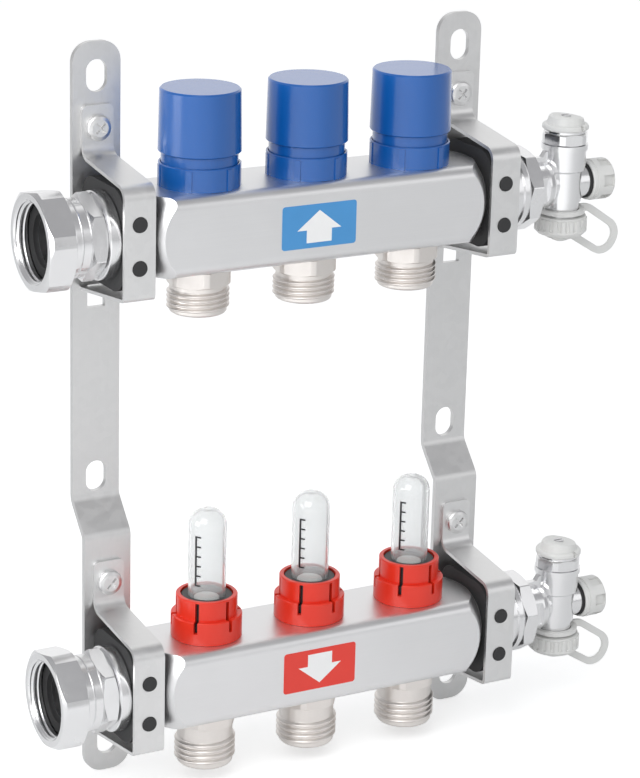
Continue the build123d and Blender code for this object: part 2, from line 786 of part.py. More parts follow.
def drain_stem():
    """Stem that the drain knob turns to open the valve."""
    end = stub_reach + seal_width + seat_gap + knob_flange + knob_length
    return Rot(0, 90, 0) * lathe([
        (0, stub_reach - drain_stem_depth), (drain_stem_radius, stub_reach - drain_stem_depth),
        (drain_stem_radius, end - 0.6), (drain_stem_radius - 0.6, end), (0, end),
    ])


def hose_cap():
    """Fluted cap on the drain outlet, with the pin that its leash holds."""
    bore = drain_thread_radius + slide_gap
    pin_low = hose_cap_bottom + leash_eye_height + 2 * loose_gap
    cap = lathe([
        (bore, -hose_cap_top), (hose_cap_radius - 0.7, -hose_cap_top),
        (hose_cap_radius - 0.7, -hose_cap_top - hose_cap_rim),
        (hose_cap_radius, -hose_cap_top - hose_cap_rim),
        (hose_cap_radius, -hose_cap_bottom + 1.6), (hose_cap_radius - 1.6, -hose_cap_bottom),
        (hose_pin_radius, -hose_cap_bottom), (hose_pin_radius, -pin_low), (hose_pin_head_radius, -pin_low),
        (hose_pin_head_radius - 0.5, -pin_low - hose_pin_head * 0.6),
        (hose_pin_head_radius - 2.0, -pin_low - hose_pin_head), (0, -pin_low - hose_pin_head),
        (0, -hose_cap_bottom + hose_cap_floor), (bore, -hose_cap_bottom + hose_cap_floor),
    ])
    top = -hose_cap_top - hose_cap_rim
    flute = Pos(hose_cap_radius, 0, 0) * (
        rod(hose_flute_radius, top - hose_flute_length, top)
        + Pos(0, 0, top - hose_flute_length) * Sphere(hose_flute_radius))
    for copy in ring_of(flute, hose_flute_count):
        cap -= copy
    return cap


def hose_cap_leash():
    """Plastic leash: a ring round the valve's throat, a flat loop to the right, an eye under the cap."""
    ring_top = -valve_throat_bottom + leash_ring_height + loose_gap
    ring_low = ring_top - leash_ring_height
    eye_top = -hose_cap_bottom - loose_gap
    eye_low = eye_top - leash_eye_height
    bore = valve_throat_radius + loose_gap
    ring = rod(leash_ring_radius, ring_low, ring_top) - rod(bore, ring_low, ring_top)
    eye = rod(leash_eye_radius, eye_low, eye_top) - rod(hose_pin_radius + loose_gap, eye_low, eye_top)
    level = (ring_low + ring_top - leash_width) / 2
    inside = [
        (leash_ring_radius - 1, level),
        (leash_ring_radius + 3, level),
        (leash_reach - 2, eye_low),
        (leash_reach - 7, eye_low - leash_drop),
        (leash_eye_radius, -hose_cap_bottom),
    ]
    loop = Rot(0, 0, -90) * bent_sheet(inside, leash_bend, leash_width, leash_thickness)
    loop -= rod(leash_ring_radius - 0.8, ring_low - 2, ring_top + 2)
    loop -= rod(hose_cap_radius + loose_gap, -hose_cap_bottom - 0.1, -hose_cap_top)
    return ring + eye + loop


def save(name, shape):
    """Writes one sub-part to its own file."""
    export_step(shape, os.path.join("parts", name + ".step"))


def save_clamps():
    """Brackets, straps, rubbers and screws."""
    screws = []
    for side, x in (("left", -clamp_reach), ("right", clamp_reach)):
        save("bracket_" + side, return_bar_place * Pos(x, 0, 0) * bracket())
        for level, place in (("upper", return_bar_place), ("lower", supply_bar_place)):
            here = place * Pos(x, 0, 0)
            save("strap_" + level + "_" + side, here * strap())
            save("clamp_rubber_" + level + "_" + side, here * clamp_rubber())
            screws.append(here * strap_screw())
    save("strap_screws", Compound(children=screws))


def save_return_circuits():
    """Return bar with its valves and outlets."""
    save("return_bar", return_bar_place * bar_tube(port_radius, outlet_port_radius))
    inserts = []
    outlets = []
    for number, x in enumerate(circuits, 1):
        here = return_bar_place * Pos(x, 0, 0)
        top = here * Pos(0, 0, bar_top)
        inserts.append(top * valve_insert())
        outlets.append(here * outlet(
            return_outlet_length, return_hex_height, return_thread_length, return_hex_turn))
        save("valve_spindle_%d" % number, top * valve_spindle())
        save("hand_cap_%d" % number, top * hand_cap())
        save("cap_collar_%d" % number, top * cap_collar())
    save("valve_inserts", Compound(children=inserts))
    save("return_outlets", Compound(children=outlets))


def save_supply_circuits():
    """Supply bar with its flow meters and outlets."""
    save("supply_bar", supply_bar_place * bar_tube(port_radius, outlet_port_radius))
    inserts = []
    outlets = []
    for number, x in enumerate(circuits, 1):
        here = supply_bar_place * Pos(x, 0, 0)
        top = here * Pos(0, 0, bar_top)
        inserts.append(top * flow_insert())
        outlets.append(here * outlet(
            supply_outlet_length, supply_hex_height, supply_thread_length, supply_hex_turn))
        save("regulating_nut_%d" % number, top * regulating_nut())
        save("sight_glass_%d" % number, top * sight_glass())
        save("lock_sleeve_%d" % number, top * lock_sleeve())
        save("flow_indicator_%d" % number, top * flow_indicator())
    save("flow_inserts", Compound(children=inserts))
    save("supply_outlets", Compound(children=outlets))


def save_bar_ends():
    """Unions at the left, vent and drain valves at the right."""
    gaskets = []
    seals = []
    vents = []
    leashes = []
    for level, place in (("upper", return_bar_place), ("lower", supply_bar_place)):
        save("union_tailpiece_" + level, place * left_end(union_tailpiece()))
        save("union_nut_" + level, place * left_end(union_nut()))
        gaskets.append(place * left_end(union_gasket()))
        save("end_adapter_" + level, place * right_end(end_adapter()))
        save("valve_body_" + level, place * valve_body())
        vents.append(place * at_valve(vent_insert()))
        save("vent_cap_" + level, place * at_valve(vent_cap()))
        save("vent_screw_" + level, place * at_valve(vent_screw()))
        seals.append(place * at_valve(drain_seal()))
        save("drain_knob_" + level, place * at_valve(drain_knob()))
        save("drain_stem_" + level, place * at_valve(drain_stem()))
        save("hose_cap_" + level, place * at_valve(hose_cap()))
        leashes.append(place * at_valve(hose_cap_leash()))
    save("vent_inserts", Compound(children=vents))
    save("hose_cap_leashes", Compound(children=leashes))
    save("union_gaskets", Compound(children=gaskets))
    save("drain_seals", Compound(children=seals))


os.makedirs("parts", exist_ok=True)
save_clamps()
save_return_circuits()
save_supply_circuits()
save_bar_ends()
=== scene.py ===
import json
import math

import bmesh
import bpy
from mathutils import Matrix, Vector


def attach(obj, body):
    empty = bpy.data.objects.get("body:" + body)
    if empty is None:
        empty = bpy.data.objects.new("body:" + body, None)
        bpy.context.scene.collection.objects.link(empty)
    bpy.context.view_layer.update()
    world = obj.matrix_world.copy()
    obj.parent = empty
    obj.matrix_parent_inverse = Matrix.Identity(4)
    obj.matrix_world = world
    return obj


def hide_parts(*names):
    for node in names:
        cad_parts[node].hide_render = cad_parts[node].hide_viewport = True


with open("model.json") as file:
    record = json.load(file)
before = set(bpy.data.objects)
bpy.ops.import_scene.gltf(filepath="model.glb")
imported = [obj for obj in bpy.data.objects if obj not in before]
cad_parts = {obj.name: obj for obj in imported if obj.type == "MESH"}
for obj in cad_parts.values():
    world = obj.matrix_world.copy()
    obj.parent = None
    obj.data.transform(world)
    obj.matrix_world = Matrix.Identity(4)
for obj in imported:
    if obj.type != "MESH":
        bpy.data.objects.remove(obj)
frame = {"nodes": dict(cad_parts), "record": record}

# Two-bar heating manifold: finishes, threads, washers, stickers and scales, in soft studio light.
# Metres. X runs along the bars, -Y points to the room and Z is up. The origin is on the wall.

MM = 0.001
ROUND_STEPS = 96
RING_STEPS = 144
STEPS_PER_TURN = 72
CORNER_SEGMENTS = 6
SHARP_ANGLE = math.radians(32)

# Places, in millimetres
CIRCUITS = [-50.0, 0.0, 50.0]
BAR_END = 93.5
BAR_HALF_HEIGHT = 17.0
BAR_HALF_DEPTH = 21.0
RETURN_BAR = (0.0, -24.0, 0.0)
SUPPLY_BAR = (0.0, -36.0, -195.0)
FLOOR_LEVEL = -243.8

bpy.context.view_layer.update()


class Number:
    """A socket of a node tree that can be used in plain arithmetic."""

    def __init__(self, wiring, socket):
        self.wiring = wiring
        self.socket = socket

    def calculate(self, operation, *values):
        return self.wiring.node("ShaderNodeMath", list(values), operation=operation)

    def __add__(self, other):
        return self.calculate("ADD", self, other)

    def __radd__(self, other):
        return self.calculate("ADD", other, self)

    def __sub__(self, other):
        return self.calculate("SUBTRACT", self, other)

    def __rsub__(self, other):
        return self.calculate("SUBTRACT", other, self)

    def __mul__(self, other):
        return self.calculate("MULTIPLY", self, other)

    def __rmul__(self, other):
        return self.calculate("MULTIPLY", other, self)

    def __truediv__(self, other):
        return self.calculate("DIVIDE", self, other)

    def __pow__(self, exponent):
        return self.calculate("POWER", self, exponent)

    def __abs__(self):
        return self.calculate("ABSOLUTE", self)

    def either(self, other):
        """The larger of two numbers."""
        return self.calculate("MAXIMUM", self, other)

    def between(self, low, high):
        """Rises smoothly from 0 to 1 as the number goes from low to high."""
        return self.wiring.node(
            "ShaderNodeMapRange", {"Value": self, "From Min": low, "From Max": high},
            interpolation_type="SMOOTHSTEP")


class Wiring:
    """A node tree to which nodes are added one call at a time."""

    def __init__(self, tree):
        self.tree = tree

    def node(self, kind, inputs, output=0, **settings):
        """Adds one node, fills its inputs and gives back one of its outputs."""
        made = self.tree.nodes.new(kind)
        for key, value in settings.items():
            setattr(made, key, value)
        pairs = inputs.items() if isinstance(inputs, dict) else enumerate(inputs)
        for key, value in pairs:
            if isinstance(value, Number):
                self.tree.links.new(value.socket, made.inputs[key])
            else:
                made.inputs[key].default_value = value
        return Number(self, made.outputs[output])

    def axes(self, place):
        """The three coordinates of a place as numbers."""
        split = self.node("ShaderNodeSeparateXYZ", {"Vector": place}).socket.node
        return [Number(self, split.outputs[axis]) for axis in "XYZ"]

    def rays(self, kind):
        """One where the light path is of a kind, such as Camera, and zero elsewhere."""
        return self.node("ShaderNodeLightPath", {}, "Is %s Ray" % kind)

    def blend(self, share, first, second):
        """Mixes two colours by a share from 0 to 1."""
        return self.node(
            "ShaderNodeMix", {0: share, 6: first, 7: second}, 2, data_type="RGBA", clamp_factor=True)


class Paint(Wiring):
    """A procedural finish on object coordinates, with one shader."""

    def __init__(self, name, **shader_values):
        self.material = bpy.data.materials.new(name)
        self.material.use_nodes = True
        super().__init__(self.material.node_tree)
        self.shader = self.tree.nodes["Principled BSDF"]
        for key, value in shader_values.items():
            self.shader.inputs[key.replace("_", " ")].default_value = value
        self.place = self.node("ShaderNodeTexCoord", {}, output="Object")

    def feed(self, key, value):
        self.tree.links.new(value.socket, self.shader.inputs[key])

    def stretched(self, scale):
        """Object coordinates drawn out by different amounts along the three axes."""
        return self.node("ShaderNodeMapping", {"Vector": self.place, "Scale": scale})

    def noise(self, scale, detail=2.0, roughness=0.5, place=None):
        return self.node("ShaderNodeTexNoise", {
            "Vector": place or self.place, "Scale": scale, "Detail": detail, "Roughness": roughness})

    def cells(self, scale, output="Distance"):
        return self.node("ShaderNodeTexVoronoi", {"Vector": self.place, "Scale": scale}, output)

    def relief(self, height, distance, strength):
        """Bumps the surface by a height, at a distance in metres."""
        bump = self.node(
            "ShaderNodeBump", {"Height": height, "Distance": distance, "Strength": strength})
        self.feed("Normal", bump)


def shade(red, green, blue):
    """A colour given as screen values from 0 to 255, as a shader colour."""
    linear = []
    for value in (red, green, blue):
        part = value / 255
        linear.append(part / 12.92 if part <= 0.04045 else ((part + 0.055) / 1.055) ** 2.4)
    return (*linear, 1.0)


def tinted(paint, colour, light, dark, share):
    """Lets a colour drift between a lighter and a darker tone of itself."""
    lighter = tuple(min(1.0, part * light) for part in colour[:3]) + (1.0,)
    darker = tuple(part * dark for part in colour[:3]) + (1.0,)
    paint.feed("Base Color", paint.blend(share, darker, lighter))


def rolled_steel(name, colour, grain, roughness, across):
    """Satin sheet or tube: rolling grain along one direction, with soft clouding and fine scratches."""
    paint = Paint(name, Metallic=1.0)
    lines = paint.noise(1.0, detail=3.0, roughness=0.65, place=paint.stretched(grain))
    scratches = paint.noise(1.0, detail=2.0, roughness=0.5, place=paint.stretched(across))
    clouds = paint.noise(38.0, detail=3.0, roughness=0.55)
    tinted(paint, colour, light=1.05, dark=0.93, share=clouds * 0.55 + lines * 0.45)
    marks = scratches.between(0.66, 0.74)
    paint.feed("Roughness", roughness + (clouds - 0.5) * 0.14 + (lines - 0.5) * 0.12 - marks * 0.06)
    paint.relief(lines * 0.8 + scratches * 0.3, distance=0.00002, strength=0.55)
    return paint


def zinc_sheet(name, colour, roughness):
    """Zinc-plated sheet: soft crystal spangle under fine rolling lines."""
    paint = Paint(name, Metallic=1.0)
    bent = paint.noise(160.0, detail=2.0)
    crystals = paint.cells(330.0, output="Color")
    crystal_tone = paint.node("ShaderNodeSeparateColor", {"Color": crystals}, "Red")
    lines = paint.noise(1.0, detail=3.0, roughness=0.6, place=paint.stretched((2600, 2600, 60)))
    clouds = paint.noise(30.0, detail=4.0, roughness=0.6)
    tone = crystal_tone * 0.3 + clouds * 0.4 + lines * 0.3
    tinted(paint, colour, light=1.05, dark=0.92, share=tone)
    paint.feed("Roughness", roughness + (crystal_tone - 0.5) * 0.07 + (clouds - 0.5) * 0.12)
    paint.relief(lines * 0.6 + bent * 0.4 + crystal_tone * 0.15, distance=0.00002, strength=0.5)
    return paint


def plated_metal(name, colour, roughness, lathe_marks, dull=0.0):
    """Bright plated metal with faint tool marks, dulled a little in patches."""
    paint = Paint(name, Metallic=1.0)
    marks = paint.noise(1.0, detail=2.0, roughness=0.5, place=paint.stretched(lathe_marks))
    patches = paint.noise(70.0, detail=4.0, roughness=0.6)
    specks = paint.noise(900.0, detail=1.0)
    tinted(paint, colour, light=1.04, dark=0.94, share=patches * 0.6 + marks * 0.4)
    tarnish = patches.between(0.4, 0.75) * (0.08 + dull)
    paint.feed("Roughness", roughness + tarnish + (marks - 0.5) * 0.06)
    paint.relief(marks * 0.7 + specks * 0.3, distance=0.000015, strength=0.4)
    return paint


def moulded_plastic(name, colour, roughness, coat=0.0, shine=0.5):
    """Moulded plastic: very fine skin, slight flow clouding and a soft sheen."""
    paint = Paint(name, Specular_IOR_Level=shine, Coat_Weight=coat, Coat_Roughness=0.18)
    skin = paint.noise(1400.0, detail=2.0, roughness=0.6)
    flow = paint.noise(26.0, detail=3.0, roughness=0.55, place=paint.stretched((1.0, 1.0, 0.35)))
    dust = paint.noise(420.0, detail=2.0, roughness=0.7).between(0.62, 0.8)
    tinted(paint, colour, light=1.06, dark=0.92, share=flow * 0.8 + skin * 0.2)
    paint.feed("Roughness", roughness + (flow - 0.5) * 0.12 + (skin - 0.5) * 0.1 + dust * 0.06)
    paint.relief(skin, distance=0.00002, strength=0.5)
    return paint


def rubber(name, colour):
    """Matt moulded rubber with fine pitting."""
    paint = Paint(name, Specular_IOR_Level=0.35)
    pits = paint.cells(900.0)
    skin = paint.noise(700.0, detail=3.0, roughness=0.65)
    bloom = paint.noise(45.0, detail=4.0, roughness=0.6)
    tinted(paint, colour, light=1.35, dark=0.8, share=bloom * 0.7 + skin * 0.3)
    paint.feed("Roughness", 0.68 + (bloom - 0.5) * 0.2)
    paint.relief(pits * 0.5 + skin * 0.5, distance=0.00006, strength=0.6)
    return paint


def clear_plastic(name):
    """Clear moulded tube with a faint haze and fine draw lines."""
    paint = Paint(name, Transmission_Weight=0.8, IOR=1.49)
    draw = paint.noise(1.0, detail=2.0, roughness=0.5, place=paint.stretched((700, 700, 30)))
    haze = paint.noise(90.0, detail=3.0, roughness=0.6)
    paint.feed("Base Color", paint.blend(haze, (0.9, 0.912, 0.915, 1.0), (0.95, 0.957, 0.96, 1.0)))
    paint.feed("Roughness", 0.03 + haze * 0.05)
    paint.relief(draw, distance=0.00001, strength=0.3)
    return paint


def printed_film(name, colour):
    """Printed plastic film: slight orange peel and a few dull rubs."""
    paint = Paint(name, Specular_IOR_Level=0.5)
    peel = paint.noise(520.0, detail=2.0, roughness=0.5)
    ink = paint.noise(60.0, detail=4.0, roughness=0.6)
    streaks = paint.noise(1.0, detail=3.0, roughness=0.6, place=paint.stretched((60, 900, 240)))
    rubs = streaks.between(0.6, 0.72)
    tinted(paint, colour, light=1.05, dark=0.95, share=ink)
    paint.feed("Roughness", 0.34 + (ink - 0.5) * 0.1 + rubs * 0.1)
    paint.relief(peel, distance=0.00002, strength=0.35)
    return paint


STEEL = shade(228, 228, 229)
paints = {
    "bar_steel": rolled_steel("bar_steel", STEEL, (26, 2300, 2300), 0.36, (420, 60, 5200)),
    "bracket_steel": zinc_sheet("bracket_steel", shade(220, 220, 220), 0.42),
    "strap_steel": zinc_sheet("strap_steel", shade(225, 225, 225), 0.38),
    "screw_steel": plated_metal("screw_steel", shade(228, 228, 228), 0.3, (900, 900, 900)),
    "clamp_rubber": rubber("clamp_rubber", shade(52, 52, 53)),
    "insert_brass": plated_metal("insert_brass", shade(206, 170, 96), 0.24, (700, 700, 2200)),
    "spindle_steel": plated_metal("spindle_steel", shade(196, 197, 199), 0.25, (700, 700, 2600)),
    "cap_blue": moulded_plastic("cap_blue", shade(0, 88, 168), 0.36, coat=1.0, shine=0.36),
    "outlet_nickel": plated_metal("outlet_nickel", shade(232, 227, 223), 0.32, (600, 600, 2600), 0.06),
    "regulator_black": moulded_plastic("regulator_black", shade(34, 34, 35), 0.42),
    "sight_glass": clear_plastic("sight_glass"),
    "sleeve_red": moulded_plastic("sleeve_red", shade(226, 48, 26), 0.33, coat=0.2),
    "indicator_white": moulded_plastic("indicator_white", shade(236, 236, 232), 0.35),
    "seal_rubber": rubber("seal_rubber", shade(40, 40, 41)),
    "fitting_nickel": plated_metal("fitting_nickel", shade(236, 236, 237), 0.2, (2200, 600, 600)),
    "vent_nickel": plated_metal("vent_nickel", shade(236, 236, 237), 0.18, (600, 600, 2200)),
    "vent_screw": plated_metal("vent_screw", shade(206, 206, 208), 0.25, (600, 600, 2200)),
    "white_plastic": moulded_plastic("white_plastic", shade(226, 226, 224), 0.36),
}
ink_paint = printed_film("scale_ink", shade(22, 22, 24))
blue_film = printed_film("blue_film", shade(74, 150, 211))
red_film = printed_film("red_film", shade(232, 62, 50))
white_film = printed_film("white_film", shade(246, 246, 246))


def turned(profile, steps=ROUND_STEPS, part=math.tau, start=0.0, climb=0.0):
    """Spins a closed profile of (radius, height) points in millimetres about Z."""
    made = bmesh.new()
    chain = [made.verts.new((radius * MM, 0, height * MM)) for radius, height in profile]
    edges = [made.edges.new(pair) for pair in zip(chain, chain[1:] + chain[:1])]
    bmesh.ops.rotate(made, cent=(0, 0, 0), matrix=Matrix.Rotation(start, 3, "Z"), verts=chain)
    whole = part == math.tau and climb == 0.0
    spun = bmesh.ops.spin(
        made, geom=chain + edges, cent=(0, 0, 0), axis=(0, 0, 1), dvec=(0, 0, climb * MM),
        angle=part, steps=steps, use_merge=whole, use_duplicate=False)
    if not whole:
        last = [item for item in spun["geom_last"] if isinstance(item, bmesh.types.BMEdge)]
        bmesh.ops.contextual_create(made, geom=edges)
        bmesh.ops.contextual_create(made, geom=last)
    bmesh.ops.remove_doubles(made, verts=made.verts, dist=1e-7)
    bmesh.ops.dissolve_degenerate(made, dist=1e-7, edges=made.edges)
    return made


# Turned-off corners of wrench flats: where they start inside the flats, and their rise over their width
CORNER_START = 0.2
CORNER_SLOPE = 0.58


def wrench_ring(sides, across_flats, corner_radius, bore, low, high, turn):
    """Ring with wrench flats and turned-off corners, between two heights in millimetres."""
    reach = across_flats / 2 - CORNER_START
    slant = (corner_radius - reach) * CORNER_SLOPE
    ring = turned([
        (bore, low), (reach, low), (corner_radius, low + slant),
        (corner_radius, high - slant), (reach, high), (bore, high)], RING_STEPS)
    for number in range(sides):
        angle = math.radians(turn + 180 / sides + 360 * number / sides)
        outward = Vector((math.cos(angle), math.sin(angle), 0))
        cut = bmesh.ops.bisect_plane(
            ring, geom=ring.verts[:] + ring.edges[:] + ring.faces[:], dist=1e-7,
            plane_co=outward * across_flats / 2 * MM, plane_no=outward, clear_outer=True)
        rim = [item for item in cut["geom_cut"] if isinstance(item, bmesh.types.BMEdge)]
        bmesh.ops.edgenet_fill(ring, edges=rim)
    return ring


# Thread tooth from its sunken foot to its tip: how far in from root or crest, and share of the pitch
TOOTH_FOOT = (0.35, 0.47)
TOOTH_ROOT = (0.0, 0.44)
TOOTH_SHOULDER = (0.22, 0.17)
TOOTH_TIP = (0.05, 0.09)


def thread_ridge(root, crest, pitch, turns, first_crest):
    """Helical thread ridge round Z, in millimetres, that climbs from the height of its first crest.

    It points inward where the crest's radius is smaller than the root's.
    """
    out = 1 if crest > root else -1
    flank = [(root - out * depth, share * pitch) for depth, share in (TOOTH_FOOT, TOOTH_ROOT)]
    flank += [(crest - out * depth, share * pitch) for depth, share in (TOOTH_SHOULDER, TOOTH_TIP)]
    tooth = [(radius, first_crest - height) for radius, height in flank]
    tooth.append((crest, first_crest))
    tooth += [(radius, first_crest + height) for radius, height in reversed(flank)]
    return turned(
        tooth, int(STEPS_PER_TURN * turns), part=math.tau * turns, climb=pitch / STEPS_PER_TURN)


def slab(outline, thickness, corner=0.0):
    """Flat plate in the XZ plane, from its corners in millimetres, with its thickness towards -Y."""
    made = bmesh.new()
    corners = [made.verts.new((x * MM, 0, z * MM)) for x, z in outline]
    made.faces.new(corners)
    if corner:
        bmesh.ops.bevel(
            made, geom=corners, offset=corner * MM, segments=CORNER_SEGMENTS, profile=0.5,
            affect="VERTICES", material=-1, offset_type="OFFSET")
    pushed = bmesh.ops.extrude_face_region(made, geom=made.faces[:])
    moved = [item for item in pushed["geom"] if isinstance(item, bmesh.types.BMVert)]
    bmesh.ops.translate(made, vec=(0, -thickness * MM, 0), verts=moved)
    bmesh.ops.remove_doubles(made, verts=made.verts, dist=1e-8)
    return made


def placed(shape, x, y, z, turn=None):
    """Moves a shape to its place, in millimetres."""
    matrix = Matrix.Translation((x * MM, y * MM, z * MM))
    if turn is not None:
        matrix = matrix @ turn
    bmesh.ops.transform(shape, matrix=matrix, verts=shape.verts)
    return shape


def piece(name, shapes, body, paint, stands_for=()):
    """Joins shapes into one named object that rides on a body."""
    whole = bmesh.new()
    for shape in shapes:
        bmesh.ops.recalc_face_normals(shape, faces=shape.faces)
        loose = bpy.data.meshes.new("loose")
        shape.to_mesh(loose)
        shape.free()
        whole.from_mesh(loose)
        bpy.data.meshes.remove(loose)
    for face in whole.faces:
        face.smooth = True
    for edge in whole.edges:
        edge.smooth = edge.calc_face_angle(0.0) < SHARP_ANGLE
    mesh = bpy.data.meshes.new(name)
    whole.to_mesh(mesh)
    whole.free()
    mesh.materials.append(paint.material)
    made = bpy.data.objects.new(name, mesh)
    bpy.context.scene.collection.objects.link(made)
    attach(made, body)
    if stands_for:
        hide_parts(*stands_for)


# Outlets with their pipe threads, in millimetres from the underside of the bar
OUTLET_BORE = 7.5
SPIGOT_RADIUS = 9.95
SPIGOT_LENGTH = 5.0
NECK_RADIUS = 12.0
NECK_EDGE = 0.1
LEAD_RADIUS = 11.7
LEAD_HEIGHT = 0.25
END_RADIUS = 11.3
MOUTH_RADIUS = 9.4
MOUTH_EDGE = 0.15
CONE_DEPTH = 6.0
WRENCH_FLATS = 25.0
WRENCH_CORNER = 13.7
WRENCH_BORE = 9.0
THREAD_CREST = 13.22
THREAD_ROOT = 12.15
THREAD_SINK = 0.1
THREAD_MARGIN = 1.0
THREAD_LEAD = 0.35
ROOT_START = 0.9
HALF_RIDGE = 0.55
LAST_RIDGE = 0.45
WASHER_BORE = 11.9
WASHER_RADIUS = 12.7
WASHER_HEIGHT = 0.5
WASHER_GAP = 0.05
WASHER_EDGE = 0.1


def outlet_shapes(length, hex_height, thread_length, hex_turn, turns):
    """Outlet nipple that hangs from the bar's underside: core, wrench flats and thread ridge."""
    top = -BAR_HALF_HEIGHT
    end = top - length
    thread_top = end + thread_length
    core = turned([
        (OUTLET_BORE, top + SPIGOT_LENGTH), (SPIGOT_RADIUS, top + SPIGOT_LENGTH), (SPIGOT_RADIUS, top),
        (NECK_RADIUS, top), (NECK_RADIUS, thread_top + NECK_EDGE), (NECK_RADIUS + NECK_EDGE, thread_top),
        (THREAD_ROOT, thread_top - NECK_EDGE), (THREAD_ROOT, end + ROOT_START),
        (LEAD_RADIUS, end + LEAD_HEIGHT), (END_RADIUS, end), (MOUTH_RADIUS, end),
        (MOUTH_RADIUS - MOUTH_EDGE, end + MOUTH_EDGE), (OUTLET_BORE, end + CONE_DEPTH)])
    flats = wrench_ring(
        6, WRENCH_FLATS, WRENCH_CORNER, WRENCH_BORE, top - hex_height,
        top - WASHER_HEIGHT + WASHER_GAP, hex_turn)
    pitch = (thread_length - THREAD_MARGIN) / (turns + LAST_RIDGE)
    first_crest = end + HALF_RIDGE * pitch + THREAD_LEAD
    ridge = thread_ridge(THREAD_ROOT - THREAD_SINK, THREAD_CREST, pitch, turns, first_crest)
    return [core, flats, ridge]


def washer():
    """Flat brass washer between an outlet and the underside of its bar."""
    top = -BAR_HALF_HEIGHT
    low = top - WASHER_HEIGHT
    face = WASHER_RADIUS - WASHER_EDGE
    return turned([
        (WASHER_BORE, top), (face, top), (WASHER_RADIUS, top - WASHER_EDGE),
        (WASHER_RADIUS, low + WASHER_EDGE), (face, low), (WASHER_BORE, low)])


def outlets(name, bar, length, hex_height, thread_length, hex_turn, turns):
    """The three outlets of one bar and their washers."""
    shapes = []
    for x in CIRCUITS:
        for shape in outlet_shapes(length, hex_height, thread_length, hex_turn, turns):
            shapes.append(placed(shape, x, bar[1], bar[2]))
    piece(name + "_threaded", shapes, "frame", paints["outlet_nickel"], (name,))
    rings = [placed(washer(), x, bar[1], bar[2]) for x in CIRCUITS]
    piece(name + "_washers", rings, "frame", paints["insert_brass"])


outlets("return_outlets", RETURN_BAR, length=20.3, hex_height=8.2, thread_length=10.4,
        hex_turn=19.0, turns=4)
outlets("supply_outlets", SUPPLY_BAR, length=25.0, hex_height=6.6, thread_length=12.4,
        hex_turn=-4.0, turns=4)

# Female threads of the union nuts, in millimetres from the end of the bar
UNION_PITCH = 2.31
UNION_ROOT = 16.75
UNION_CREST = 15.75
UNION_TURNS = 1.6
UNION_START = 27.0
LEFTWARDS = Matrix.Rotation(-math.pi / 2, 4, "Y")
for level, bar in (("upper", RETURN_BAR), ("lower", SUPPLY_BAR)):
    helix = thread_ridge(UNION_ROOT, UNION_CREST, UNION_PITCH, UNION_TURNS, UNION_START)
    piece("union_thread_" + level, [placed(helix, -BAR_END, bar[1], bar[2], LEFTWARDS)],
          "union_nut_" + level, paints["fitting_nickel"])

# Reading scales printed on the clear tubes, in millimetres above the axis of the bar
PRINT_INNER = 8.09
PRINT_OUTER = 8.15
SCALE_START = math.radians(-156.2)
SCALE_LOW = 41.0
SCALE_LENGTH = 22.6
LINE_SWEEP = math.radians(6.7)
LINE_STEPS = 6
SCALE_TICKS = 6
TICK_HEIGHT = 0.7
TICK_SWEEP = math.radians(20)
TICK_STEPS = 14


def printed_mark(low, high, steps, sweep):
    """Film of ink round part of a tube, between two heights."""
    section = [(PRINT_INNER, low), (PRINT_OUTER, low), (PRINT_OUTER, high), (PRINT_INNER, high)]
    return turned(section, steps, sweep, SCALE_START)


for number, x in enumerate(CIRCUITS, 1):
    marks = [printed_mark(SCALE_LOW, SCALE_LOW + SCALE_LENGTH, LINE_STEPS, LINE_SWEEP)]
    for tick in range(SCALE_TICKS):
        low = SCALE_LOW + (SCALE_LENGTH - TICK_HEIGHT) * tick / (SCALE_TICKS - 1)
        marks.append(printed_mark(low, low + TICK_HEIGHT, TICK_STEPS, TICK_SWEEP))
    piece("scale_%d" % number, [placed(mark, x, SUPPLY_BAR[1], SUPPLY_BAR[2]) for mark in marks],
          "regulator_%d" % number, ink_paint)

# Stickers with a plain arrow on the front of each bar, in millimetres
STICKER_WIDTH = 35.0
STICKER_HEIGHT = 18.6
STICKER_CORNER = 1.3
FILM_THICKNESS = 0.12
INK_THICKNESS = 0.03
ARROW_TIP = 6.6
ARROW_WING = 10.4
ARROW_SHAFT = 5.9
ARROW_SHOULDER = -1.6
ARROW_FOOT = -7.1
ARROW = [
    (0.0, ARROW_TIP), (ARROW_WING, ARROW_SHOULDER), (ARROW_SHAFT, ARROW_SHOULDER),
    (ARROW_SHAFT, ARROW_FOOT), (-ARROW_SHAFT, ARROW_FOOT), (-ARROW_SHAFT, ARROW_SHOULDER),
    (-ARROW_WING, ARROW_SHOULDER)]


def sticker(name, bar, x, z, film, up):
    """Rounded film with a white arrow on a bar's front, pointing up (1) or down (-1)."""
    front = bar[1] - BAR_HALF_DEPTH
    half_width = STICKER_WIDTH / 2
    half_height = STICKER_HEIGHT / 2
    corners = [(-half_width, -half_height), (half_width, -half_height), (half_width, half_height),
               (-half_width, half_height)]
    backing = placed(slab(corners, FILM_THICKNESS, STICKER_CORNER), x, front, bar[2] + z)
    piece(name + "_film", [backing], "frame", film)
    points = [(across, rise * up) for across, rise in ARROW][::up]
    arrow = placed(slab(points, INK_THICKNESS), x, front - FILM_THICKNESS, bar[2] + z)
    piece(name + "_arrow", [arrow], "frame", white_film)


sticker("return_sticker", RETURN_BAR, x=-4.7, z=-0.4, film=blue_film, up=1)
sticker("supply_sticker", SUPPLY_BAR, x=-5.6, z=0.5, film=red_film, up=-1)

# Finishes of the carried-over nodes
for node in frame["record"]["subparts"]:
    shown = frame["nodes"][node["node"]]
    paint = paints[node["material_slot"]]
    for number in range(len(shown.material_slots)):
        shown.material_slots[number].material = paint.material
    if not shown.material_slots:
        shown.data.materials.append(paint.material)

